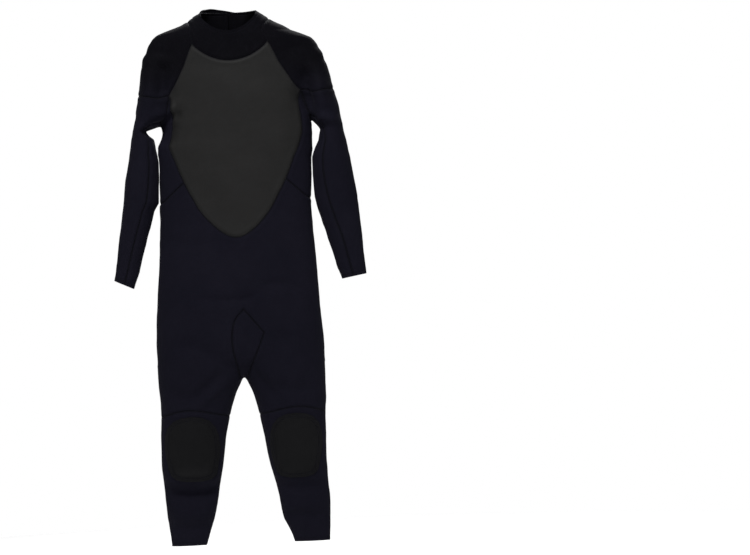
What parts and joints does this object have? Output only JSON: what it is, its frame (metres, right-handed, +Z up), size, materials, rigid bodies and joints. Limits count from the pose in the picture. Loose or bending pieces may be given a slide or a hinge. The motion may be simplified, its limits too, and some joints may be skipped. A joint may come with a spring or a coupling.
{
  "type": "full wetsuit",
  "caption": "Long-sleeved, full-length neoprene wetsuit with a back zip, leash, collar flap, embossed chest panel and knee pads.",
  "frame": {"origin": "on the centre line, inside the neck opening at the level of the shoulder slopes, where the suit hangs on a hanger; the suit hangs below it", "axes": "+Z up from the legs to the neck; -Y the suit's front (chest), +Y its back (zip); +X the wearer's left"},
  "size_m": [0.6986, 0.1623, 1.504],
  "materials": {
    "lined_neoprene": "matt nylon jersey over foamed rubber",
    "embossed_skin": "matt, finely embossed skin",
    "zip_tape": "woven",
    "zip_coil": "moulded",
    "zip_metal": "tumbled",
    "webbing": "woven webbing",
    "hook_and_loop": "hook and loop pile"
  },
  "bodies": {
    "suit_body": {"chest_panel": "embossed_skin", "collar": "lined_neoprene", "front_body_panel": "lined_neoprene", "crotch_gusset": "lined_neoprene", "raglan_yoke_left": "lined_neoprene", "side_panel_left": "lined_neoprene", "back_panel_left": "lined_neoprene", "seat_panel_left": "lined_neoprene", "raglan_yoke_right": "lined_neoprene", "side_panel_right": "lined_neoprene", "back_panel_right": "lined_neoprene", "seat_panel_right": "lined_neoprene", "zip_tape_left": "zip_tape", "zip_coil_left": "zip_coil", "zip_top_stop_left": "zip_metal", "zip_tape_right": "zip_tape", "zip_coil_right": "zip_coil", "zip_top_stop_right": "zip_metal", "zip_bottom_stop": "zip_metal", "zip_backing_flap": "lined_neoprene", "loop_patch": "hook_and_loop", "leash_keeper": "hook_and_loop"},
    "upper_arm_left": {"sleeve_upper_outer_left": "lined_neoprene", "sleeve_upper_inner_left": "lined_neoprene"},
    "forearm_left": {"forearm_outer_left": "lined_neoprene", "forearm_inner_left": "lined_neoprene"},
    "thigh_left": {"thigh_front_left": "lined_neoprene", "thigh_back_left": "lined_neoprene", "knee_pad_upper_left": "embossed_skin"},
    "shin_left": {"shin_front_left": "lined_neoprene", "calf_left": "lined_neoprene", "knee_pad_lower_left": "embossed_skin"},
    "upper_arm_right": {"sleeve_upper_outer_right": "lined_neoprene", "sleeve_upper_inner_right": "lined_neoprene"},
    "forearm_right": {"forearm_outer_right": "lined_neoprene", "forearm_inner_right": "lined_neoprene"},
    "thigh_right": {"thigh_front_right": "lined_neoprene", "thigh_back_right": "lined_neoprene", "knee_pad_upper_right": "embossed_skin"},
    "shin_right": {"shin_front_right": "lined_neoprene", "calf_right": "lined_neoprene", "knee_pad_lower_right": "embossed_skin"},
    "collar_flap": {"collar_flap": "lined_neoprene", "hook_patch": "hook_and_loop"},
    "zip_slider": {"zip_slider": "zip_metal"},
    "zip_pull_tab": {"zip_pull_tab": "zip_metal", "leash": "webbing"}
  },
  "joints": [
    {"name": "shoulder_lift_left", "type": "hinge", "parent": "suit_body", "child": "upper_arm_left", "pos_m": [0.256, -0.006, -0.31], "axis": [0, -1, 0], "range_deg": [0, 60], "stiffness_Nm_per_rad": 0.15},
    {"name": "elbow_bend_left", "type": "hinge", "parent": "upper_arm_left", "child": "forearm_left", "pos_m": [0.273, -0.006, -0.492], "axis": [-0.9877, 0, -0.1564], "range_deg": [0, 90], "stiffness_Nm_per_rad": 0.06},
    {"name": "hip_bend_left", "type": "hinge", "parent": "suit_body", "child": "thigh_left", "pos_m": [0.116, 0, -0.985], "axis": [-0.9063, 0, -0.4226], "range_deg": [0, 50], "stiffness_Nm_per_rad": 0.4},
    {"name": "knee_bend_left", "type": "hinge", "parent": "thigh_left", "child": "shin_left", "pos_m": [0.146, 0, -1.185], "axis": [1, 0, 0], "range_deg": [0, 90], "stiffness_Nm_per_rad": 0.12},
    {"name": "shoulder_lift_right", "type": "hinge", "parent": "suit_body", "child": "upper_arm_right", "pos_m": [-0.256, -0.006, -0.31], "axis": [0, 1, 0], "range_deg": [0, 60], "stiffness_Nm_per_rad": 0.15},
    {"name": "elbow_bend_right", "type": "hinge", "parent": "upper_arm_right", "child": "forearm_right", "pos_m": [-0.273, -0.006, -0.492], "axis": [-0.9877, 0, 0.1564], "range_deg": [0, 90], "stiffness_Nm_per_rad": 0.06},
    {"name": "hip_bend_right", "type": "hinge", "parent": "suit_body", "child": "thigh_right", "pos_m": [-0.116, 0, -0.985], "axis": [-0.9063, 0, 0.4226], "range_deg": [0, 50], "stiffness_Nm_per_rad": 0.4},
    {"name": "knee_bend_right", "type": "hinge", "parent": "thigh_right", "child": "shin_right", "pos_m": [-0.146, 0, -1.185], "axis": [1, 0, 0], "range_deg": [0, 90], "stiffness_Nm_per_rad": 0.12},
    {"name": "collar_flap_open", "type": "hinge", "parent": "suit_body", "child": "collar_flap", "pos_m": [-0.006, 0.0775, -0.1], "axis": [-0.2177, 0.0835, -0.9724], "range_deg": [0, 90], "stiffness_Nm_per_rad": 0.02},
    {"name": "zip_slide", "type": "slide", "parent": "suit_body", "child": "zip_slider", "axis": [0, 0, -1], "range_m": [0, 0.34]},
    {"name": "pull_tab_swing", "type": "hinge", "parent": "zip_slider", "child": "zip_pull_tab", "pos_m": [0, 0.0739, -0.127], "axis": [1, 0, 0], "range_deg": [0, 100]}
  ]
}
